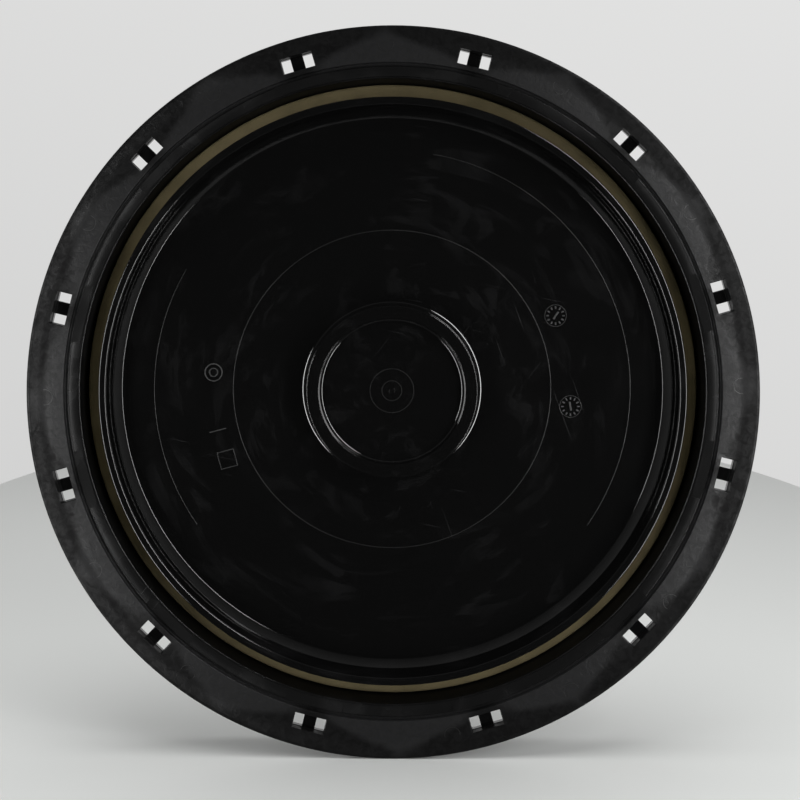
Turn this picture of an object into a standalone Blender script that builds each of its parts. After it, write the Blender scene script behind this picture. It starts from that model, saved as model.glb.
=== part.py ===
"""Lid of an open-head plastic drum of about 60 litres, with its foam gasket. Metres, +Z up.

Each part is turned about its own Z axis in the place where it works: z = 0 is the underside of the
brim, and the crown is on top. Both are then stood on edge, with the underside facing -Y and the
edge of the brim resting on z = 0, so the lid's axis runs along Y.
"""
import math

import bmesh
import bpy
from mathutils import Matrix, Vector

MM = 0.001

# Driving dimensions, in millimetres. Heights are above the underside of the brim.
OUTER_R = 190.0
WALL = 3.0
CROWN_TOP = 31.0
LIP_DEPTH = 2.5

BRIM_IN_R = 171.4
LIP_START_R = 182.6
LIP_CREST_R = 188.4

CHANNEL_SEAT = CROWN_TOP - WALL
CHANNEL_OUT_R = 163.2
CHANNEL_IN_R = 154.2
MOUTH_R = 163.6
MOUTH_HEIGHT = 3.2
BAND_OUT_R = 169.4
BAND_OUT_HEIGHT = 1.2
GROOVE_HEIGHT = 2.8
BAND_TOP = 6.2

RIB_TIP = 3.0
RIB_TIP_OUT_R = 153.9
RIB_TIP_IN_R = 149.9
RIB_ROOT_IN_R = 149.1
PANEL_CHAMFER = 4.2

PANEL_EDGE = 21.2
PANEL_AT_BOSS = 16.2
CROWN_IN_R = 150.4

BOSS_TIP = 1.0
BOSS_TIP_OUT_R = 44.6
BOSS_TIP_IN_R = 38.3
BOSS_FOOT_R = 45.6
BOSS_FILLET = 2.0
CUP_FLOOR = 6.1
CUP_R = 37.4

GASKET_THICKNESS = 9.0
GASKET_CLEARANCE = 0.3
GASKET_EDGE = 0.8

WINDOW_COUNT = 12
FIRST_WINDOW_DEG = -16.0
WINDOW_WIDTH = 17.0
WINDOW_IN_R = 174.0
WINDOW_OUT_R = 182.0
BAR_WIDTH = 6.7
BAR_BOTTOM = 5.0
FRAME_TOP = 8.0
FRAME_WALL = 2.6
FRAME_ROOT_R = 165.6
SHUT_OFF_STEP = 0.2

DRAFT = 0.3          # how far a deep wall leans, or a groove's side steps in
CROWN_LEAN = 3.8     # how far the crown's inner wall leans over its height
OUTER_FILLET = 1.2
INNER_FILLET = 0.8
TIP_FILLET = 0.6
EDGE_FILLET = 0.3

TURN_STEPS = 72
SMOOTH_ANGLE = math.radians(30.0)


def clear_scene():
    """Remove every object of the start-up scene."""
    for thing in list(bpy.data.objects):
        bpy.data.objects.remove(thing, do_unlink=True)


def make_collection(name):
    """Link a new collection into the scene."""
    collection = bpy.data.collections.new(name)
    bpy.context.scene.collection.children.link(collection)
    return collection


def make_material(name, colour, roughness):
    """A Principled BSDF of one colour."""
    material = bpy.data.materials.new(name)
    material.use_nodes = True
    shader = material.node_tree.nodes["Principled BSDF"]
    shader.inputs["Base Color"].default_value = (*colour, 1.0)
    shader.inputs["Roughness"].default_value = roughness
    shader.inputs["Metallic"].default_value = 0.0
    return material


def rounded(corners, arc_segments=3):
    """Points of an outline whose corners (radius, height, fillet) are rounded by their fillets."""
    points = []
    for index, (radius, height, fillet) in enumerate(corners):
        corner = Vector((radius, height))
        if fillet == 0.0:
            points.append(corner)
            continue
        before = Vector(corners[index - 1][:2])
        after = Vector(corners[(index + 1) % len(corners)][:2])
        towards_before = (before - corner).normalized()
        towards_after = (after - corner).normalized()
        half_angle = towards_before.angle(towards_after) / 2
        start = corner + towards_before * fillet / math.tan(half_angle)
        end = corner + towards_after * fillet / math.tan(half_angle)
        middle = (towards_before + towards_after).normalized()
        centre = corner + middle * fillet / math.sin(half_angle)
        segments = arc_segments if fillet >= BOSS_FILLET else 1
        sweep = (start - centre).angle_signed(end - centre)
        for step in range(segments + 1):
            turn = Matrix.Rotation(-sweep * step / segments, 2)
            points.append(centre + turn @ (start - centre))
    return points


def turned(name, corners, closed, material, collection):
    """Turn an outline about Z with a Screw modifier; a closed outline makes a ring."""
    points = [(p.x * MM, 0.0, p.y * MM) for p in rounded(corners)]
    edges = [(i, i + 1) for i in range(len(points) - 1)]
    if closed:
        edges.append((len(points) - 1, 0))
    mesh = bpy.data.meshes.new(name)
    mesh.from_pydata(points, edges, [])
    thing = bpy.data.objects.new(name, mesh)
    collection.objects.link(thing)
    screw = thing.modifiers.new("turn", "SCREW")
    screw.axis = "Z"
    screw.steps = TURN_STEPS
    screw.render_steps = TURN_STEPS
    screw.use_merge_vertices = True
    screw.merge_threshold = 0.00001
    thing.data.materials.append(material)
    return thing


def blocks_at_windows(name, radii, half_width, offsets, heights, collection):
    """One mesh of boxes at every window: radial span, half width, side offsets and height span."""
    work = bmesh.new()
    size = Vector((radii[1] - radii[0], 2 * half_width, heights[1] - heights[0])) * MM
    for number in range(WINDOW_COUNT):
        angle = math.radians(FIRST_WINDOW_DEG - number * 360.0 / WINDOW_COUNT)
        for offset in offsets:
            middle = Vector((sum(radii) / 2, offset, sum(heights) / 2)) * MM
            place = Matrix.Rotation(angle, 4, "Z") @ Matrix.Translation(middle)
            bmesh.ops.create_cube(work, size=1.0, matrix=place @ Matrix.Diagonal((*size, 1.0)))
    mesh = bpy.data.meshes.new(name)
    work.to_mesh(mesh)
    work.free()
    thing = bpy.data.objects.new(name, mesh)
    collection.objects.link(thing)
    thing.hide_render = True
    thing.display_type = "WIRE"
    return thing


def combine(thing, tool, operation):
    """Add a Boolean modifier with the EXACT solver."""
    boolean = thing.modifiers.new(tool.name, "BOOLEAN")
    boolean.operation = operation
    boolean.solver = "EXACT"
    boolean.object = tool


def bake(thing, tools=()):
    """Replace the modifiers by their result, shade it smooth and remove the cutters."""
    graph = bpy.context.evaluated_depsgraph_get()
    thing.data = bpy.data.meshes.new_from_object(thing.evaluated_get(graph))
    thing.modifiers.clear()
    thing.data.shade_smooth()
    thing.data.set_sharp_from_angle(angle=SMOOTH_ANGLE)
    for tool in tools:
        bpy.data.objects.remove(tool, do_unlink=True)


def lid_outline():
    """Corners of the lid's section, from its axis over the top, round the brim and back below."""
    top_side = [
        (0.0, CUP_FLOOR + WALL, 0.0),
        (CUP_R + WALL, CUP_FLOOR + WALL, 0.0),
        (BOSS_TIP_IN_R + WALL * 0.8, BOSS_TIP + WALL, 0.0),
        (BOSS_TIP_OUT_R - WALL, BOSS_TIP + WALL, 0.0),
        (BOSS_FOOT_R - WALL, PANEL_AT_BOSS + WALL, OUTER_FILLET),
        (CROWN_IN_R - CROWN_LEAN, PANEL_EDGE + WALL, OUTER_FILLET),
        (CROWN_IN_R, CROWN_TOP, OUTER_FILLET),
        (CHANNEL_OUT_R + WALL, CROWN_TOP, 2 * OUTER_FILLET),
        (MOUTH_R + WALL, BAND_TOP, 0.0),
        (BRIM_IN_R + WALL * 0.8, BAND_TOP, 0.0),
        (BRIM_IN_R + WALL, WALL, 0.0),
        (OUTER_R, WALL, OUTER_FILLET),
    ]
    underside = [
        (OUTER_R, -LIP_DEPTH, TIP_FILLET),
        (LIP_CREST_R, -LIP_DEPTH, TIP_FILLET),
        (LIP_START_R, 0.0, 0.0),
        (BRIM_IN_R, 0.0, TIP_FILLET),
        (BRIM_IN_R - DRAFT, GROOVE_HEIGHT, 0.0),
        (BAND_OUT_R + DRAFT, GROOVE_HEIGHT, 0.0),
        (BAND_OUT_R, BAND_OUT_HEIGHT, TIP_FILLET),
        (MOUTH_R, MOUTH_HEIGHT, INNER_FILLET),
        (CHANNEL_OUT_R, CHANNEL_SEAT, 0.0),
        (CHANNEL_IN_R, CHANNEL_SEAT, 0.0),
        (RIB_TIP_OUT_R, RIB_TIP, INNER_FILLET),
        (RIB_TIP_IN_R, RIB_TIP, TIP_FILLET),
        (RIB_ROOT_IN_R, PANEL_EDGE - PANEL_CHAMFER, EDGE_FILLET),
        (RIB_ROOT_IN_R - PANEL_CHAMFER, PANEL_EDGE, EDGE_FILLET),
        (BOSS_FOOT_R, PANEL_AT_BOSS, BOSS_FILLET),
        (BOSS_TIP_OUT_R, BOSS_TIP, EDGE_FILLET),
        (BOSS_TIP_IN_R, BOSS_TIP, EDGE_FILLET),
        (CUP_R, CUP_FLOOR, OUTER_FILLET),
        (0.0, CUP_FLOOR, 0.0),
    ]
    return top_side + underside


def make_lid(parts, tools, material):
    """The one-piece moulding: turned shell, frames round the windows, and the window cuts."""
    lid = turned("lid_shell", lid_outline(), False, material, parts)
    half = WINDOW_WIDTH / 2
    frames = blocks_at_windows(
        "window_frames",
        (BRIM_IN_R + WALL / 2, WINDOW_OUT_R + FRAME_WALL),
        half + FRAME_WALL,
        (0.0,),
        (WALL / 2, FRAME_TOP),
        tools,
    )
    frame_roots = blocks_at_windows(
        "window_frame_roots",
        (FRAME_ROOT_R, WINDOW_IN_R - DRAFT),
        half + FRAME_WALL,
        (0.0,),
        (BAND_TOP - WALL / 2, FRAME_TOP),
        tools,
    )
    recesses = blocks_at_windows(
        "window_recesses",
        (WINDOW_IN_R, WINDOW_OUT_R),
        half,
        (0.0,),
        (-WALL, BAR_BOTTOM),
        tools,
    )
    pane = (half - BAR_WIDTH / 2 - SHUT_OFF_STEP) / 2
    pane_offset = BAR_WIDTH / 2 + pane
    panes = blocks_at_windows(
        "window_panes",
        (WINDOW_IN_R + SHUT_OFF_STEP, WINDOW_OUT_R - SHUT_OFF_STEP),
        pane,
        (-pane_offset, pane_offset),
        (BAR_BOTTOM - WALL, FRAME_TOP + WALL),
        tools,
    )
    combine(lid, frames, "UNION")
    combine(lid, frame_roots, "UNION")
    combine(lid, recesses, "DIFFERENCE")
    combine(lid, panes, "DIFFERENCE")
    bake(lid, (frames, frame_roots, recesses, panes))
    return lid


def make_gasket(parts, material):
    """The foam ring that lies on the channel's seat, with bevelled edges on its sealing face."""
    inner = CHANNEL_IN_R + GASKET_CLEARANCE
    outer = CHANNEL_OUT_R - GASKET_CLEARANCE
    top = CHANNEL_SEAT - GASKET_CLEARANCE
    face = top - GASKET_THICKNESS
    corners = [
        (inner, top, 0.0),
        (outer, top, 0.0),
        (outer, face, GASKET_EDGE),
        (inner, face, GASKET_EDGE),
    ]
    gasket = turned("gasket", corners, True, material, parts)
    bake(gasket)
    return gasket


def stand_on_edge(things):
    """Turn the lid's axis to Y, underside to -Y, with the edge on z = 0 and the middle at y = 0."""
    middle = (CROWN_TOP - LIP_DEPTH) / 2
    place = Matrix.Translation(Vector((0.0, -middle, OUTER_R)) * MM)
    for thing in things:
        thing.matrix_world = place @ Matrix.Rotation(math.radians(-90.0), 4, "X")


def main():
    clear_scene()
    parts = make_collection("drum_lid")
    tools = make_collection("cutters")
    black = make_material("black_polyethylene", (0.012, 0.012, 0.013), 0.42)
    foam = make_material("tan_foam", (0.14, 0.115, 0.06), 0.95)
    lid = make_lid(parts, tools, black)
    gasket = make_gasket(parts, foam)
    stand_on_edge([lid, gasket])


main()
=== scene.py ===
"""Looks of a black moulded drum lid that stands on its edge, with its foam gasket.

The lid is turned again in fine steps on the frame's own sizes, then gets its windows, moulding marks
and surface; the gasket is a foam strip whose ends meet near the bottom.
"""
import math

import bmesh
import bpy
from mathutils import Matrix, Vector, noise


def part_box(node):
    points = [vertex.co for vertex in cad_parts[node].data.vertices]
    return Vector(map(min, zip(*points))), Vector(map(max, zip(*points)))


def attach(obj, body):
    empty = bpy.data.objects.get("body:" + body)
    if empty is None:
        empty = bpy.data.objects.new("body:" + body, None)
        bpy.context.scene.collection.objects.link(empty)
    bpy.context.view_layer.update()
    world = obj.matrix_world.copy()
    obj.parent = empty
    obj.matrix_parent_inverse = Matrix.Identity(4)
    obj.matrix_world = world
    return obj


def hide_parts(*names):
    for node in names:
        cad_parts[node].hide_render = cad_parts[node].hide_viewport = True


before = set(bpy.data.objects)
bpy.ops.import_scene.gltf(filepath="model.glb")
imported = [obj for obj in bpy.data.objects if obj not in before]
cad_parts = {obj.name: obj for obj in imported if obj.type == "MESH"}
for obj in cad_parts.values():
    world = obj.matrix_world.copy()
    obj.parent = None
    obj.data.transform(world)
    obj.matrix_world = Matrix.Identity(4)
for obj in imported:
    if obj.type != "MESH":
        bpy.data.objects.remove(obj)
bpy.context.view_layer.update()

MM = 0.001

# ---------------------------------------------------------------- sizes, from the frame's boxes
LID_LOW, LID_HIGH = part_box("lid_shell")
SEAL_LOW, SEAL_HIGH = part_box("gasket")
OUTER_R = (LID_HIGH.x - LID_LOW.x) / 2 / MM
LIP_DEPTH = 2.5
CROWN_TOP = (LID_HIGH.y - LID_LOW.y) / MM - LIP_DEPTH
WALL = 3.0
SLANT_WALL = WALL * 0.8    # measured across, where the wall slopes
CHANNEL_SEAT = CROWN_TOP - WALL
SEAL_OUT_R = (SEAL_HIGH.x - SEAL_LOW.x) / 2 / MM
SEAL_FACE = (SEAL_LOW.y - LID_LOW.y) / MM - LIP_DEPTH
SEAL_BACK = (SEAL_HIGH.y - LID_LOW.y) / MM - LIP_DEPTH
SEAL_GAP = CHANNEL_SEAT - SEAL_BACK
CHANNEL_OUT_R = SEAL_OUT_R + SEAL_GAP
CHANNEL_IN_R = 154.2

# Heights are above the underside of the brim, radii from the lid's axis, all in millimetres.
BRIM_IN_R = 171.4
LIP_START_R = 182.6
LIP_CREST_R = 188.4
MOUTH_R = 163.6
MOUTH_HEIGHT = 3.2
BAND_OUT_R = 169.4
BAND_OUT_HEIGHT = 1.2
GROOVE_HEIGHT = 2.8
BAND_TOP = 6.2
RIB_TIP = 3.0
RIB_TIP_OUT_R = 153.9
RIB_TIP_IN_R = 149.9
RIB_ROOT_IN_R = 149.1
PANEL_CHAMFER = 4.2
PANEL_EDGE = 21.2
PANEL_AT_BOSS = 16.2
CROWN_IN_R = 150.4
CROWN_LEAN = 3.8
BOSS_TIP = 1.0
BOSS_TIP_OUT_R = 44.6
BOSS_TIP_IN_R = 38.3
BOSS_FOOT_R = 45.6
BOSS_FILLET = 2.0
CUP_FLOOR = 6.1
CUP_R = 37.4

WINDOW_COUNT = 12
WINDOW_STEP = 360.0 / WINDOW_COUNT
FIRST_WINDOW_DEG = 16.0
WINDOW_WIDTH = 17.0
WINDOW_IN_R = 174.0
WINDOW_OUT_R = 182.0
BAR_WIDTH = 6.7
BAR_BOTTOM = 5.0
FRAME_TOP = 8.0
FRAME_WALL = 2.6
FRAME_ROOT_R = 165.6
SHUT_OFF_STEP = 0.2

# Fine raised lines that mould inserts leave on the panel: radius, width, rise, first and last angle.
INSERT_LINES = (
    (84.8, 0.5, 0.13, 0.0, 360.0),
    (127.5, 0.35, 0.06, -35.0, 80.0),
    (127.5, 0.35, 0.06, 150.0, 215.0),
)
GATE_RINGS = (11.5, 5.2)
GATE_PIT_R = 1.6

PIN_CIRCLE_R = 181.0
PIN_DEGREES = (1, 31, 61, 91, 121, 151, 181, 211, 234, 280, 301, 323)
PIN_R = 4.0
MARK_CIRCLE_R = 95.8
DIAL_R = 5.8
DIALS = ((24.1, 55.0), (-5.6, 100.0))  # place and pointer of each dial, in degrees
RING_MARK_DEG = 174.8
BAR_MARK_DEG = 193.5
SQUARE_MARK_DEG = 203.2

RELIEF_DEPTH = 0.12
RELIEF_HALF_WIDTH = 15.3
RELIEF_IN_R = MOUTH_R + 0.9

TURN_STEPS = 240
ARC_SEGMENTS = 6
SHARP_DEG = 24.0

# The lid's finishes, by the number of the material slot.
POLISHED, SATIN, SMOOTH, DEEP = range(4)

# The stage. The room is a pale wall for the camera; as light it is bright behind and dim in front.
TABLE_HALF_WIDTH = 0.52
TABLE_HALF_DEPTH = 1.4
TABLE_THICKNESS = 0.02
TABLE_RIGHT = 0.01
TABLE_CORNERS = 180
FRONT_GLOW = 0.012
BACK_GLOW = 0.75
GLOW_FROM, GLOW_TO = -0.4, 0.6    # between these the room's light grows, from front to back
SEEN_GLOW = 0.694
SEEN_SLOPE = (0.07, 0.0, 0.185)   # the wall behind gets brighter to the right and upwards
SOFTBOX_DEG = 38.0
SOFTBOX_DISTANCE = 0.95
SOFTBOX_WIDTH = 0.2

LENS = 55.4
CAMERA_DISTANCE = 0.6397   # from the brim's underside, along the view
CAMERA_TURN_DEG = 0.7      # round the lid, towards its right
CAMERA_ABOVE = 0.052       # over the lid's axis; the camera itself stays level
CAMERA_LEFT = 0.0109
SHIFT = (0.0363, -0.1356)  # the level camera's picture is cropped round the lid

# The lid's own axes in the row frame: local Z is above the brim, local -Y is up.
PLACE = (
    Matrix.Translation(Vector((0.0, LID_LOW.y + LIP_DEPTH * MM, (LID_LOW.z + LID_HIGH.z) / 2)))
    @ Matrix.Rotation(math.radians(-90.0), 4, "X")
)


def at(radius, degrees, height):
    """A point of the lid in its own axes, at an angle seen from the underside, right to up."""
    angle = math.radians(-degrees)
    return Vector((radius * math.cos(angle), radius * math.sin(angle), height)) * MM


# ---------------------------------------------------------------- turned shapes
def rounded(corners):
    """Points of a section whose corners (radius, height, fillet) are rounded by their fillets."""
    points = []
    for index, (radius, height, fillet) in enumerate(corners):
        corner = Vector((radius, height))
        if fillet == 0.0:
            points.append(corner)
            continue
        before = Vector(corners[index - 1][:2])
        after = Vector(corners[(index + 1) % len(corners)][:2])
        towards_before = (before - corner).normalized()
        towards_after = (after - corner).normalized()
        half_angle = towards_before.angle(towards_after) / 2
        start = corner + towards_before * fillet / math.tan(half_angle)
        end = corner + towards_after * fillet / math.tan(half_angle)
        middle = (towards_before + towards_after).normalized()
        centre = corner + middle * fillet / math.sin(half_angle)
        sweep = (start - centre).angle_signed(end - centre)
        for step in range(ARC_SEGMENTS + 1):
            turn = Matrix.Rotation(-sweep * step / ARC_SEGMENTS, 2)
            points.append(centre + turn @ (start - centre))
    return points


def panel_height(radius):
    """Height of the panel's underside at a radius: a shallow cone that dips towards the boss."""
    slope = (PANEL_EDGE - PANEL_AT_BOSS) / (RIB_ROOT_IN_R - BOSS_FOOT_R)
    return PANEL_AT_BOSS + (radius - BOSS_FOOT_R) * slope


def band_corners():
    """Corners of the band from the groove to the mouth: a slightly hollow cone and a parting step."""
    steps = 5
    width = BAND_OUT_R - MOUTH_R
    corners = [(BAND_OUT_R, BAND_OUT_HEIGHT, 0.3)]
    for step in range(1, steps + 1):
        share = 1.0 - 0.85 * step / steps
        height = MOUTH_HEIGHT + (BAND_OUT_HEIGHT - MOUTH_HEIGHT) * (0.55 + 0.45 * share) * share
        corners.append((MOUTH_R + width * share, height, 0.0))
    return corners + [
        (MOUTH_R + 0.55, MOUTH_HEIGHT + 0.3, 0.0),
        (MOUTH_R + 0.3, MOUTH_HEIGHT + 0.3, 0.0),
        (MOUTH_R, MOUTH_HEIGHT, 0.22),
    ]


def lid_section():
    """Corners of the lid's section, from its axis over the top, round the brim and back below."""
    top_side = [
        (0.0, CUP_FLOOR + WALL, 0.0),
        (CUP_R + WALL, CUP_FLOOR + WALL, 0.5),
        (BOSS_TIP_IN_R + SLANT_WALL, BOSS_TIP + WALL, 0.3),
        (BOSS_TIP_OUT_R - WALL, BOSS_TIP + WALL, 0.3),
        (BOSS_FOOT_R - WALL, PANEL_AT_BOSS + WALL, 1.4),
        (CROWN_IN_R - CROWN_LEAN, PANEL_EDGE + WALL, 1.4),
        (CROWN_IN_R, CROWN_TOP, 1.4),
        (CHANNEL_OUT_R + WALL, CROWN_TOP, 2.2),
        (MOUTH_R + WALL, BAND_TOP, 1.0),
        (BRIM_IN_R + SLANT_WALL, BAND_TOP, 0.8),
        (BRIM_IN_R + WALL, WALL, 0.5),
        (OUTER_R, WALL, 1.3),
    ]
    brim_and_channel = [
        (OUTER_R, -LIP_DEPTH, 0.8),
        (LIP_CREST_R, -LIP_DEPTH, 0.9),
        (LIP_START_R, 0.0, 14.0),
        (BRIM_IN_R, 0.0, 0.35),
        (BRIM_IN_R - 0.2, GROOVE_HEIGHT, 0.25),
        (BAND_OUT_R + 0.3, GROOVE_HEIGHT, 0.25),
        *band_corners(),
        (CHANNEL_OUT_R, CHANNEL_SEAT, 0.4),
        (CHANNEL_IN_R, CHANNEL_SEAT, 0.4),
        (RIB_TIP_OUT_R, RIB_TIP, 0.7),
        (RIB_TIP_IN_R, RIB_TIP, 0.9),
        (RIB_ROOT_IN_R, PANEL_EDGE - PANEL_CHAMFER, 1.0),
        (RIB_ROOT_IN_R - PANEL_CHAMFER, PANEL_EDGE, 1.0),
    ]
    boss = [
        (BOSS_FOOT_R, PANEL_AT_BOSS, BOSS_FILLET + 0.6),
        (BOSS_TIP_OUT_R, BOSS_TIP, 0.4),
        (BOSS_TIP_IN_R, BOSS_TIP, 0.2),
        (CUP_R, CUP_FLOOR, 1.5),
        (GATE_PIT_R + 0.3, CUP_FLOOR, 0.0),
        (GATE_PIT_R, CUP_FLOOR - 0.5, 0.2),
        (0.0, CUP_FLOOR - 0.7, 0.0),
    ]
    return top_side + brim_and_channel + boss


def turned(name, corners):
    """An object whose Screw modifier turns a section about the lid's axis."""
    points = [(p.x * MM, 0.0, p.y * MM) for p in rounded(corners)]
    mesh = bpy.data.meshes.new(name)
    mesh.from_pydata(points, [(i, i + 1) for i in range(len(points) - 1)], [])
    piece = bpy.data.objects.new(name, mesh)
    bpy.context.scene.collection.objects.link(piece)
    screw = piece.modifiers.new("turn", "SCREW")
    screw.steps = TURN_STEPS
    screw.render_steps = TURN_STEPS
    screw.use_merge_vertices = True
    screw.merge_threshold = 0.000001
    return piece


def apply_modifiers(piece):
    """Replace the piece's mesh by its evaluated mesh."""
    graph = bpy.context.evaluated_depsgraph_get()
    graph.update()
    mesh = bpy.data.meshes.new_from_object(piece.evaluated_get(graph))
    piece.modifiers.clear()
    piece.data = mesh


def shade(piece, sharp_deg=SHARP_DEG):
    """Smooth shading with the edges sharper than an angle kept sharp."""
    piece.data.shade_smooth()
    piece.data.set_sharp_from_angle(angle=math.radians(sharp_deg))


def new_piece(name, work, place=PLACE):
    """An object from a bmesh in the lid's own axes, placed in the row frame."""
    mesh = bpy.data.meshes.new(name)
    bmesh.ops.recalc_face_normals(work, faces=work.faces)
    work.to_mesh(mesh)
    work.free()
    piece = bpy.data.objects.new(name, mesh)
    bpy.context.scene.collection.objects.link(piece)
    piece.matrix_world = place
    return piece


# ---------------------------------------------------------------- cutters at the windows
def loft_block(work, place, half_x, half_y, sections):
    """A closed block with a rectangular section that grows or shrinks: (height, growth) pairs."""
    rings = []
    for height, growth in sections:
        x, y = half_x + growth, half_y + growth
        corners = [(-x, -y), (x, -y), (x, y), (-x, y)]
        rings.append([work.verts.new(place @ (Vector((cx, cy, height)) * MM)) for cx, cy in corners])
    for lower, upper in zip(rings, rings[1:]):
        for side in range(4):
            after = (side + 1) % 4
            work.faces.new((lower[side], lower[after], upper[after], upper[side]))
    work.faces.new(reversed(rings[0]))
    work.faces.new(rings[-1])


def window_places():
    """The turn about the lid's axis that brings local +X to each window."""
    for number in range(WINDOW_COUNT):
        degrees = FIRST_WINDOW_DEG + number * WINDOW_STEP
        yield Matrix.Rotation(math.radians(-degrees), 4, "Z")


def blocks(name, radii, half_width, offsets, sections, lean_deg=0.0, lean_height=0.0):
    """One hidden object with a lofted block at every window and side offset."""
    work = bmesh.new()
    middle = sum(radii) / 2
    for turn in window_places():
        for offset in offsets:
            lean = Matrix.Rotation(math.radians(lean_deg), 4, "Y")
            shift = Matrix.Translation(Vector((middle, offset, lean_height)) * MM)
            loft_block(work, turn @ shift @ lean, (radii[1] - radii[0]) / 2, half_width, sections)
    tool = new_piece(name, work, Matrix.Identity(4))
    tool.hide_render = True
    return tool


def combine(piece, tool, operation):
    """A Boolean modifier with the EXACT solver."""
    boolean = piece.modifiers.new(tool.name, "BOOLEAN")
    boolean.operation = operation
    boolean.solver = "EXACT"
    boolean.object = tool


def frame_sections(bottom):
    """Heights and growths of a window frame's block, with a rounded top edge."""
    return [(bottom, 0.0), (FRAME_TOP - 0.6, 0.0), (FRAME_TOP - 0.15, -0.2), (FRAME_TOP, -0.6)]


def make_lid():
    """The moulding: turned shell with window frames, recesses, panes and the band's shallow reliefs."""
    lid = turned("lid_moulding", lid_section())
    half = WINDOW_WIDTH / 2
    edge = 0.3
    frame_block = blocks(
        "tool_frames", (BRIM_IN_R + WALL / 2, WINDOW_OUT_R + FRAME_WALL), half + FRAME_WALL, (0.0,),
        frame_sections(WALL / 2),
    )
    frame_root = blocks(
        "tool_frame_roots", (FRAME_ROOT_R, WINDOW_IN_R - 0.3), half + FRAME_WALL, (0.0,),
        frame_sections(BAND_TOP - WALL / 2),
    )
    recess = blocks(
        "tool_recesses", (WINDOW_IN_R, WINDOW_OUT_R), half, (0.0,),
        [(-WALL, edge), (0.0, edge), (edge / 3, edge / 3), (edge, 0.0), (BAR_BOTTOM, 0.0)],
    )
    pane = (half - BAR_WIDTH / 2 - SHUT_OFF_STEP) / 2
    offset = BAR_WIDTH / 2 + pane
    panes = blocks(
        "tool_panes", (WINDOW_IN_R + SHUT_OFF_STEP, WINDOW_OUT_R - SHUT_OFF_STEP), pane,
        (-offset, offset),
        [(BAR_BOTTOM - 1.0, 0.0), (FRAME_TOP - edge, 0.0), (FRAME_TOP, edge), (FRAME_TOP + 2.0, edge)],
    )
    band_rise = BAND_OUT_HEIGHT - MOUTH_HEIGHT
    band_run = BAND_OUT_R - MOUTH_R
    reliefs = blocks(
        "tool_reliefs", (RELIEF_IN_R, BAND_OUT_R), RELIEF_HALF_WIDTH, (0.0,),
        [(-2.0, 0.0), (RELIEF_DEPTH, 0.0)],
        lean_deg=-math.degrees(math.atan2(band_rise, band_run)),
        lean_height=(BAND_OUT_HEIGHT + MOUTH_HEIGHT) / 2,
    )
    combine(lid, frame_block, "UNION")
    combine(lid, frame_root, "UNION")
    cutters = (recess, panes, reliefs)
    for cutter in cutters:
        combine(lid, cutter, "DIFFERENCE")
    apply_modifiers(lid)
    for tool in (frame_block, frame_root, *cutters):
        bpy.data.objects.remove(tool, do_unlink=True)
    shade(lid)
    lid.matrix_world = PLACE
    return lid


# ---------------------------------------------------------------- fine raised lines
def brim_height(radius):
    """Height of the brim's underside, which is flat, so the same at every radius."""
    return 0.0


def cup_height(radius):
    """Height of the cup's floor, which is flat too."""
    return CUP_FLOOR


def circle(centre, radius, count=40):
    """Points of a circle round a centre (right, up)."""
    turns = [2 * math.pi * step / count for step in range(count)]
    return [centre + Vector((math.cos(turn), math.sin(turn))) * radius for turn in turns]


def spot_at(radius, degrees):
    """A point (right, up) in millimetres from the axis."""
    return Vector((math.cos(math.radians(degrees)), math.sin(math.radians(degrees)))) * radius


def arc(radius, from_deg, to_deg):
    """Points of an arc round the lid's axis, one every degree and a half."""
    count = round((to_deg - from_deg) / 1.5)
    whole = to_deg - from_deg == 360.0
    return [
        spot_at(radius, from_deg + (to_deg - from_deg) * step / count)
        for step in range(count if whole else count + 1)
    ]


def raised_line(work, points, width, rise, surface, closed):
    """A thin ridge along points (right, up) in millimetres from the axis, proud of a surface."""
    sunk = -0.3
    section = ((-0.5, sunk), (-0.3, rise), (0.3, rise), (0.5, sunk))
    rings = []
    count = len(points)
    for index, point in enumerate(points):
        before = points[index - 1] if closed or index > 0 else point
        after = points[(index + 1) % count] if closed or index < count - 1 else point
        run = (after - before).normalized()
        across = Vector((-run.y, run.x))
        ring = []
        for side, proud in section:
            spot = point + across * width * side
            height = surface(spot.length) - proud
            ring.append(work.verts.new(Vector((spot.x, -spot.y, height)) * MM))
        rings.append(ring)
    following = rings[1:] + rings[:1] if closed else rings[1:]
    for one, other in zip(rings, following):
        for side in range(4):
            after = (side + 1) % 4
            work.faces.new((one[side], one[after], other[after], other[side]))
    if not closed:
        work.faces.new(reversed(rings[0]))
        work.faces.new(rings[-1])


def add_dial(work, degrees, hand_deg):
    """A plain dial on the panel: a circle, twelve ticks and a pointer."""
    middle = spot_at(MARK_CIRCLE_R, degrees)
    raised_line(work, circle(middle, DIAL_R), 0.3, 0.06, panel_height, True)
    for tick in range(12):
        run = spot_at(1.0, tick * 30.0)
        ends = [middle + run * DIAL_R * 0.62, middle + run * DIAL_R * 0.86]
        raised_line(work, ends, 0.9, 0.32, panel_height, False)
    hand = spot_at(1.0, hand_deg)
    raised_line(work, [middle - hand * 2.2, middle + hand * 2.6], 1.1, 0.36, panel_height, False)


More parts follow.
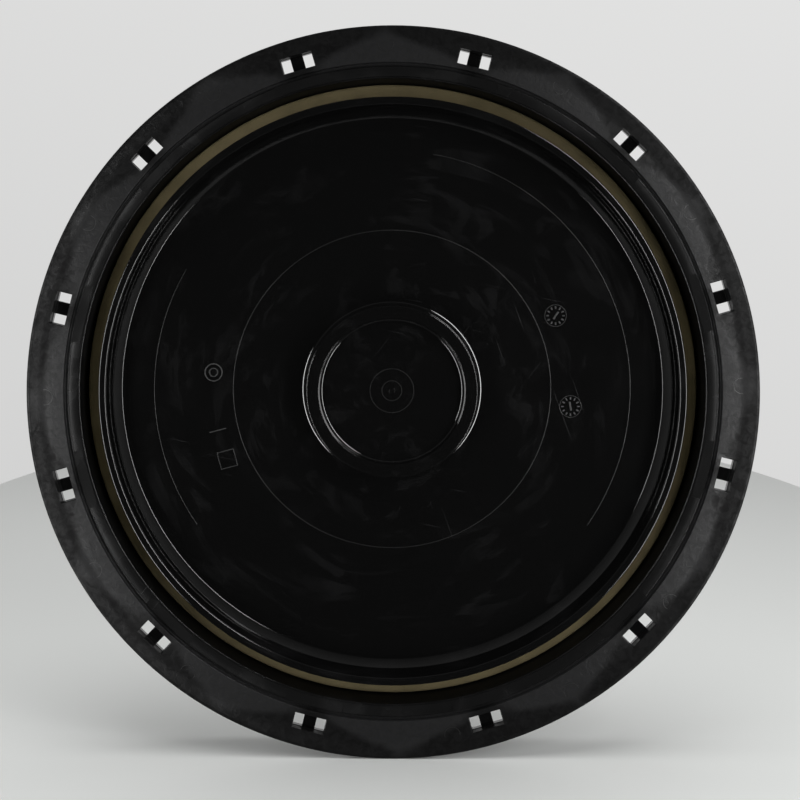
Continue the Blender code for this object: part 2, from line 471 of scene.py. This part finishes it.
def add_plain_marks(work):
    """A double ring, a short bar and a square, where the real panel has its own marks."""
    rise = 0.26
    ring_mark = spot_at(MARK_CIRCLE_R, RING_MARK_DEG)
    raised_line(work, circle(ring_mark, 4.6), 0.8, rise, panel_height, True)
    raised_line(work, circle(ring_mark, 2.2, 24), 0.7, rise, panel_height, True)
    bar_mark = spot_at(MARK_CIRCLE_R, BAR_MARK_DEG)
    slope = spot_at(4.6, 15.0)
    raised_line(work, [bar_mark - slope, bar_mark + slope], 0.7, rise, panel_height, False)
    square_mark = spot_at(MARK_CIRCLE_R, SQUARE_MARK_DEG)
    corners = [square_mark + spot_at(6.4, 60.0 + 90.0 * side) for side in range(4)]
    raised_line(work, corners, 0.8, rise, panel_height, True)


def make_marks():
    """Ejector-pin rings on the brim, insert and gate rings, two dials and three plain marks."""
    work = bmesh.new()
    for degrees in PIN_DEGREES:
        raised_line(work, circle(spot_at(PIN_CIRCLE_R, degrees), PIN_R), 0.45, 0.15, brim_height, True)
    for radius, width, rise, from_deg, to_deg in INSERT_LINES:
        points = arc(radius, from_deg, to_deg)
        raised_line(work, points, width, rise, panel_height, to_deg - from_deg == 360.0)
    for radius in GATE_RINGS:
        raised_line(work, circle(Vector((0.0, 0.0)), radius), 0.45, 0.12, cup_height, True)
    for degrees, hand_deg in DIALS:
        add_dial(work, degrees, hand_deg)
    add_plain_marks(work)
    marks = new_piece("moulding_marks", work)
    shade(marks)
    return marks


# ---------------------------------------------------------------- foam gasket
def make_gasket():
    """The foam strip: a soft section swept once round, its two ends meeting at the joint."""
    joint_deg = -87.6
    joint_gap_deg = 0.03
    stations = 540
    waves = 9.0    # the ring's radius in the noise: a larger one gives the foam shorter waves
    middle_r = (CHANNEL_IN_R + CHANNEL_OUT_R) / 2
    half_width = SEAL_OUT_R - middle_r
    thickness = SEAL_BACK - SEAL_FACE
    work = bmesh.new()
    rings = []
    for station in range(stations + 1):
        share = station / stations
        degrees = joint_deg + joint_gap_deg / 2 + (360.0 - joint_gap_deg) * share
        end_pinch = 0.12 * math.exp(-min(share, 1.0 - share) * 900.0)
        ring = []
        for across, down in gasket_section():
            wander = noise.noise(Vector((math.cos(math.radians(degrees)) * waves,
                                         math.sin(math.radians(degrees)) * waves, across * 2.0)))
            proud = (1.0 - down) * (thickness - 0.18 + 0.16 * wander - end_pinch)
            radius = middle_r + across * (half_width - 0.1 + 0.08 * wander)
            ring.append(work.verts.new(at(radius, degrees, SEAL_BACK - proud)))
        rings.append(ring)
    count = len(rings[0])
    for one, other in zip(rings, rings[1:]):
        for side in range(count):
            after = (side + 1) % count
            work.faces.new((one[side], one[after], other[after], other[side]))
    work.faces.new(rings[0])
    work.faces.new(list(reversed(rings[-1])))
    gasket = new_piece("foam_gasket", work)
    shade(gasket, 60.0)
    return gasket


def gasket_section():
    """Section of the strip as (across from -1 to 1, down from 0 at its face to 1 at its back)."""
    steps = 16
    shoulder = 0.3
    points = []
    for step in range(steps + 1):
        turn = math.pi * (1.0 - step / steps)
        across = math.copysign(math.sqrt(abs(math.cos(turn))), math.cos(turn))
        points.append((across, shoulder * (1.0 - math.sqrt(abs(math.sin(turn))))))
    return points + [(1.0, 1.0), (-1.0, 1.0)]


# ---------------------------------------------------------------- node helpers
class Nodes:
    """Short calls for one material's node tree."""

    def __init__(self, material):
        material.use_nodes = True
        self.tree = material.node_tree
        self.shader = self.tree.nodes["Principled BSDF"]

    def link(self, value, socket):
        if isinstance(value, bpy.types.NodeSocket):
            self.tree.links.new(value, socket)
        else:
            socket.default_value = value

    def math(self, operation, first, second=0.0):
        node = self.tree.nodes.new("ShaderNodeMath")
        node.operation = operation
        self.link(first, node.inputs[0])
        self.link(second, node.inputs[1])
        return node.outputs[0]

    def between(self, value, low, high, to_low=0.0, to_high=1.0):
        """Smoothly maps low..high to to_low..to_high."""
        node = self.tree.nodes.new("ShaderNodeMapRange")
        node.interpolation_type = "SMOOTHSTEP"
        for socket, number in zip(node.inputs, (value, low, high, to_low, to_high)):
            self.link(number, socket)
        return node.outputs[0]

    def vector(self, x, y, z):
        node = self.tree.nodes.new("ShaderNodeCombineXYZ")
        for socket, value in zip(node.inputs, (x, y, z)):
            self.link(value, socket)
        return node.outputs[0]

    def noise(self, where, scale, detail=3.0, roughness=0.5, distortion=0.0):
        node = self.tree.nodes.new("ShaderNodeTexNoise")
        self.link(where, node.inputs["Vector"])
        node.inputs["Scale"].default_value = scale
        node.inputs["Detail"].default_value = detail
        node.inputs["Roughness"].default_value = roughness
        node.inputs["Distortion"].default_value = distortion
        return node.outputs["Fac"]

    def own_coordinates(self):
        """The piece's own coordinates in metres: vector, and its x, y, z."""
        place = self.tree.nodes.new("ShaderNodeTexCoord").outputs["Object"]
        split = self.tree.nodes.new("ShaderNodeSeparateXYZ")
        self.link(place, split.inputs[0])
        return place, split.outputs[0], split.outputs[1], split.outputs[2]

    def mix_colour(self, factor, first, second):
        node = self.tree.nodes.new("ShaderNodeMix")
        node.data_type = "RGBA"
        self.link(factor, node.inputs["Factor"])
        self.link(first, node.inputs["A"])
        self.link(second, node.inputs["B"])
        return node.outputs["Result"]

    def bump(self, height, distance, strength=1.0, below=None):
        node = self.tree.nodes.new("ShaderNodeBump")
        node.inputs["Strength"].default_value = strength
        node.inputs["Distance"].default_value = distance
        self.link(height, node.inputs["Height"])
        if below is not None:
            self.link(below, node.inputs["Normal"])
        return node.outputs["Normal"]


def turned_vector(nodes, x, y, z, degrees, stretch):
    """Coordinates turned about the lid's axis and stretched across, for lines in one direction."""
    cosine, sine = math.cos(math.radians(degrees)), math.sin(math.radians(degrees))
    along = nodes.math("ADD", nodes.math("MULTIPLY", x, cosine), nodes.math("MULTIPLY", y, sine))
    across = nodes.math("SUBTRACT", nodes.math("MULTIPLY", y, cosine), nodes.math("MULTIPLY", x, sine))
    return nodes.vector(along, nodes.math("MULTIPLY", across, stretch), z)


# ---------------------------------------------------------------- materials
def satin_finish(nodes, place, x, y, radius, clouds, gloss_low, gloss_high):
    """Tone, shine, roughness and relief of a turned mould face, with flow fans on the brim."""
    # How far round a point is: 0 at each window and 0.5 halfway between two.
    turn = nodes.math("ARCTAN2", nodes.math("MULTIPLY", y, -1.0), x)
    steps = nodes.math("DIVIDE", nodes.math("SUBTRACT", turn, math.radians(FIRST_WINDOW_DEG)),
                       math.radians(WINDOW_STEP))
    near = nodes.math("ABSOLUTE", nodes.math("SUBTRACT", steps, nodes.math("ROUND", steps)))
    wander = nodes.math("MULTIPLY", nodes.math("SUBTRACT", clouds, 0.5), 0.5)
    share = nodes.math("ADD", nodes.math("MULTIPLY", near, 2.0), wander)
    # The fan between two windows is a triangle with its base at the brim's inner edge.
    reach = nodes.between(radius, BRIM_IN_R * MM, OUTER_R * MM, 0.12, 1.0)
    on_brim = nodes.between(radius, (BAND_OUT_R - 1.0) * MM, BRIM_IN_R * MM)
    fan = nodes.between(nodes.math("SUBTRACT", share, reach), -0.12, 0.2)
    fan = nodes.math("MULTIPLY", fan, on_brim)
    mottle = nodes.noise(place, 260.0, 5.0, 0.62, 0.7)
    cloudy = nodes.between(mottle, 0.34, 0.66)
    tone = nodes.math("ADD", nodes.math("MULTIPLY", fan, 0.42), nodes.math("MULTIPLY", cloudy, 0.15))
    tone = nodes.math("ADD", nodes.math("MULTIPLY", tone, on_brim),
                      nodes.math("MULTIPLY", nodes.math("SUBTRACT", 1.0, on_brim), 0.25))
    shine = nodes.math("ADD", nodes.math("MULTIPLY", fan, 0.13),
                       nodes.between(mottle, 0.34, 0.66, 0.14, 0.27))
    gloss = nodes.math("SUBTRACT", nodes.between(mottle, 0.3, 0.7, gloss_high, gloss_low),
                       nodes.math("MULTIPLY", fan, 0.03))
    nodes.shader.inputs["Anisotropic"].default_value = 0.6
    nodes.shader.inputs["Anisotropic Rotation"].default_value = 0.25
    tangent = nodes.tree.nodes.new("ShaderNodeTangent")
    tangent.direction_type = "RADIAL"
    tangent.axis = "Z"
    nodes.link(tangent.outputs["Tangent"], nodes.shader.inputs["Tangent"])
    return tone, shine, gloss, nodes.bump(mottle, 0.00035, 0.5)


def hazy_finish(nodes, place, x, y, z, radius, clouds, gloss_low, gloss_high):
    """Tone, roughness and relief of a polished mould face, with haze and a few fine scratches."""
    unit_x, unit_y = nodes.math("DIVIDE", x, radius), nodes.math("DIVIDE", y, radius)
    round_the_axis = nodes.vector(nodes.math("MULTIPLY", unit_x, 2.2),
                                  nodes.math("MULTIPLY", unit_y, 2.2),
                                  nodes.math("MULTIPLY", radius, 75.0))
    streaks = nodes.noise(round_the_axis, 1.0, 3.0, 0.6, 1.2)
    scratches = None
    for degrees, scale, cut in ((12.0, 34.0, 0.75), (71.0, 27.0, 0.755), (128.0, 41.0, 0.76)):
        line = nodes.noise(turned_vector(nodes, x, y, z, degrees, 42.0), scale, 1.0, 0.4)
        line = nodes.between(line, cut, cut + 0.03)
        scratches = line if scratches is None else nodes.math("MAXIMUM", scratches, line)
    scratched = nodes.between(nodes.noise(place, 17.0, 1.0), 0.56, 0.68)
    scratches = nodes.math("MULTIPLY", scratches, scratched)
    haze = nodes.math("MULTIPLY", nodes.between(clouds, 0.4, 0.7), nodes.between(streaks, 0.5, 0.6))
    tone = nodes.math("MAXIMUM", nodes.math("MULTIPLY", haze, 0.18),
                      nodes.math("MULTIPLY", scratches, 0.5))
    gloss = nodes.math("ADD", nodes.between(clouds, 0.45, 0.7, gloss_low, gloss_high),
                       nodes.math("MULTIPLY", scratches, 0.12))
    return tone, gloss, nodes.bump(nodes.noise(place, 38.0, 1.0), 0.0004, 0.3)


def black_plastic(name, gloss_low, gloss_high, satin=False, shine=0.5, dark=0.002):
    """Black moulded polyethylene between two roughness values.

    Satin is the brim and the top, and works out its own shine; every other finish is hazy.
    """
    material = bpy.data.materials.new(name)
    nodes = Nodes(material)
    place, x, y, z = nodes.own_coordinates()
    squares = nodes.math("ADD", nodes.math("MULTIPLY", x, x), nodes.math("MULTIPLY", y, y))
    radius = nodes.math("SQRT", squares)
    clouds = nodes.noise(place, 26.0, 4.0, 0.6, 0.8)
    if satin:
        tone, shine, gloss, relief = satin_finish(
            nodes, place, x, y, radius, clouds, gloss_low, gloss_high)
    else:
        tone, gloss, relief = hazy_finish(
            nodes, place, x, y, z, radius, clouds, gloss_low, gloss_high)
    nodes.link(nodes.mix_colour(tone, (dark, dark, dark, 1.0), (0.016, 0.016, 0.0165, 1.0)),
               nodes.shader.inputs["Base Color"])
    nodes.link(shine, nodes.shader.inputs["Specular IOR Level"])
    nodes.link(gloss, nodes.shader.inputs["Roughness"])
    grain = nodes.noise(place, 900.0, 2.0)
    nodes.link(nodes.bump(grain, 0.00002, 0.5, relief), nodes.shader.inputs["Normal"])
    return material


def tan_foam():
    """Fine closed-cell foam: pores darkened with painted shade, and a little mottling."""
    material = bpy.data.materials.new("tan_foam")
    nodes = Nodes(material)
    place = nodes.own_coordinates()[0]
    mottle = nodes.noise(place, 60.0, 3.0)
    cells = nodes.tree.nodes.new("ShaderNodeTexVoronoi")
    nodes.link(place, cells.inputs["Vector"])
    cells.inputs["Scale"].default_value = 1600.0
    pores = nodes.between(cells.outputs["Distance"], 0.05, 0.35)
    darker = (0.094, 0.075, 0.034, 1.0)
    lighter = (0.128, 0.103, 0.05, 1.0)
    painted_pore_shade = (0.053, 0.043, 0.022, 1.0)
    colour = nodes.mix_colour(nodes.between(mottle, 0.3, 0.7), darker, lighter)
    # Painted shade: the foam's colour is darker in each pore, where the bump makes a pit.
    colour = nodes.mix_colour(pores, painted_pore_shade, colour)
    nodes.link(colour, nodes.shader.inputs["Base Color"])
    nodes.shader.inputs["Roughness"].default_value = 0.92
    grain = nodes.bump(pores, 0.00012, 0.7)
    relief = nodes.bump(nodes.noise(place, 420.0, 2.0), 0.0002, 0.5, grain)
    nodes.link(relief, nodes.shader.inputs["Normal"])
    return material


def pale_floor():
    """Plain pale table top."""
    material = bpy.data.materials.new("pale_floor")
    nodes = Nodes(material)
    nodes.shader.inputs["Base Color"].default_value = (0.54, 0.55, 0.54, 1.0)
    nodes.shader.inputs["Roughness"].default_value = 0.6
    return material


# ---------------------------------------------------------------- stage, light and camera
def bowed(turn, of):
    """The square root of a sine or cosine, with its sign: it rounds a rectangle's corners."""
    return math.copysign(math.sqrt(abs(of(turn))), of(turn))


def make_floor():
    """A pale table top with rounded corners, level with the lid's lowest point."""
    work = bmesh.new()
    rim = []
    for step in range(TABLE_CORNERS):
        turn = 2 * math.pi * step / TABLE_CORNERS
        x = bowed(turn, math.cos) * TABLE_HALF_WIDTH
        y = bowed(turn, math.sin) * TABLE_HALF_DEPTH
        rim.append(work.verts.new((x, y, 0.0)))
    top = work.faces.new(rim)
    below = bmesh.ops.extrude_face_region(work, geom=[top])["geom"]
    moved = [item for item in below if isinstance(item, bmesh.types.BMVert)]
    bmesh.ops.translate(work, verts=moved, vec=(0.0, 0.0, -TABLE_THICKNESS))
    floor = new_piece("table_top", work, Matrix.Translation((TABLE_RIGHT, 0.0, LID_LOW.z)))
    floor.data.materials.append(pale_floor())
    floor.visible_glossy = False   # the lid's dark panel mirrors no table
    floor.visible_shadow = False   # the softboxes reach below the table


def soft_light(name, where, target, size, watts, mirrored):
    """A rectangular soft light that points at a target; reflections can leave it out."""
    data = bpy.data.lights.new(name, "AREA")
    data.shape = "RECTANGLE"
    data.size, data.size_y = size
    data.energy = watts
    light = bpy.data.objects.new(name, data)
    light.location = where
    light.rotation_euler = (Vector(target) - Vector(where)).to_track_quat("-Z", "Y").to_euler()
    light.visible_camera = False
    light.visible_glossy = mirrored
    bpy.context.scene.collection.objects.link(light)


def beside(degrees, height):
    """A softbox's place beside the lid: degrees from straight in front, positive to the right."""
    turn = math.radians(degrees)
    return (SOFTBOX_DISTANCE * math.sin(turn), -SOFTBOX_DISTANCE * math.cos(turn), height)


def make_lights():
    """Two tall softboxes that draw the bright lines on the rings, and a wide light overhead."""
    lid_middle = (0.0, 0.0, PLACE.translation.z)
    right = beside(SOFTBOX_DEG, 0.3)
    left = beside(-SOFTBOX_DEG, 0.0)
    soft_light("right_softbox", right, lid_middle, (SOFTBOX_WIDTH, 1.5), 10.6, True)
    soft_light("left_softbox", left, lid_middle, (SOFTBOX_WIDTH, 0.8), 4.9, True)
    soft_light("overhead", (0.05, -0.3, 1.9), (0.0, -0.1, 0.0), (1.6, 1.4), 32.5, False)


def make_world():
    """A pale room for the camera; as light it is bright behind the lid and dim in front of it."""
    world = bpy.data.worlds.new("pale_room")
    bpy.context.scene.world = world
    world.use_nodes = True
    tree = world.node_tree
    background = tree.nodes["Background"]
    direction = tree.nodes.new("ShaderNodeTexCoord")
    split = tree.nodes.new("ShaderNodeSeparateXYZ")
    tree.links.new(direction.outputs["Generated"], split.inputs[0])
    behind = tree.nodes.new("ShaderNodeMapRange")
    for socket, number in zip(list(behind.inputs)[1:5], (GLOW_FROM, GLOW_TO, FRONT_GLOW, BACK_GLOW)):
        socket.default_value = number
    tree.links.new(split.outputs[1], behind.inputs[0])
    path = tree.nodes.new("ShaderNodeLightPath")
    strength = tree.nodes.new("ShaderNodeMix")
    tree.links.new(path.outputs["Is Camera Ray"], strength.inputs["Factor"])
    tree.links.new(behind.outputs[0], strength.inputs["A"])
    seen = tree.nodes.new("ShaderNodeVectorMath")
    seen.operation = "DOT_PRODUCT"
    seen.inputs[1].default_value = SEEN_SLOPE
    tree.links.new(direction.outputs["Generated"], seen.inputs[0])
    glow = tree.nodes.new("ShaderNodeMath")
    glow.operation = "ADD"
    glow.inputs[1].default_value = SEEN_GLOW
    tree.links.new(seen.outputs["Value"], glow.inputs[0])
    tree.links.new(glow.outputs[0], strength.inputs["B"])
    tree.links.new(strength.outputs["Result"], background.inputs["Strength"])
    background.inputs["Color"].default_value = (1.0, 1.0, 0.995, 1.0)


def make_camera():
    """A level camera a little above the lid's axis."""
    data = bpy.data.cameras.new("camera")
    data.lens = LENS
    data.shift_x, data.shift_y = SHIFT
    camera = bpy.data.objects.new("camera", data)
    turn = math.radians(CAMERA_TURN_DEG)
    forward = Vector((-math.sin(turn), math.cos(turn), 0.0))
    right = Vector((math.cos(turn), math.sin(turn), 0.0))
    middle = PLACE.translation
    above = Vector((0.0, 0.0, CAMERA_ABOVE))
    camera.location = middle - forward * CAMERA_DISTANCE - right * CAMERA_LEFT + above
    camera.rotation_euler = forward.to_track_quat("-Z", "Y").to_euler()
    bpy.context.scene.collection.objects.link(camera)
    bpy.context.scene.camera = camera


# ---------------------------------------------------------------- putting it together
def finish_of(radius, height, facing):
    """Which finish a face of the lid gets; facing is its normal's part along the lid's axis."""
    if RIB_TIP_OUT_R < radius < MOUTH_R - 0.05 and MOUTH_HEIGHT + 0.4 < height < CHANNEL_SEAT + 0.1:
        return DEEP
    if MOUTH_R <= radius <= BAND_OUT_R and facing < 0.0 and height < GROOVE_HEIGHT + 1.0:
        return SMOOTH
    if WINDOW_IN_R < radius < WINDOW_OUT_R and BAR_BOTTOM - 0.5 < height < FRAME_TOP - 0.5:
        return POLISHED
    inside = radius < MOUTH_R and height < CHANNEL_SEAT + 0.1
    under = facing < 0.0 or radius > CHANNEL_IN_R
    return POLISHED if inside and under else SATIN


make_camera()
make_world()
make_floor()
make_lights()
bpy.context.scene.view_settings.view_transform = "Standard"

polished = black_plastic("black_polished_inside", 0.05, 0.08, shine=0.85)
satin = black_plastic("black_satin_outside", 0.34, 0.46, satin=True)
smooth = black_plastic("black_smooth_band", 0.24, 0.3)
# Painted highlight: the marks' base is a little lighter than the other finishes, so that the raised
# lines read as bright lines.
raised = black_plastic("black_raised_marks", 0.3, 0.36, shine=0.8, dark=0.006)
deep = black_plastic("black_channel_walls", 0.5, 0.6, shine=0.12)
lid = make_lid()
lid.data.materials.clear()
for finish in (polished, satin, smooth, deep):   # in the order of POLISHED, SATIN, SMOOTH, DEEP
    lid.data.materials.append(finish)
for face in lid.data.polygons:
    face.material_index = finish_of(face.center.xy.length / MM, face.center.z / MM, face.normal.z)
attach(lid, "root")
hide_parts("lid_shell")

marks = make_marks()
marks.data.materials.append(raised)
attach(marks, "root")

gasket = make_gasket()
gasket.data.materials.append(tan_foam())
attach(gasket, "root")
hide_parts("gasket")
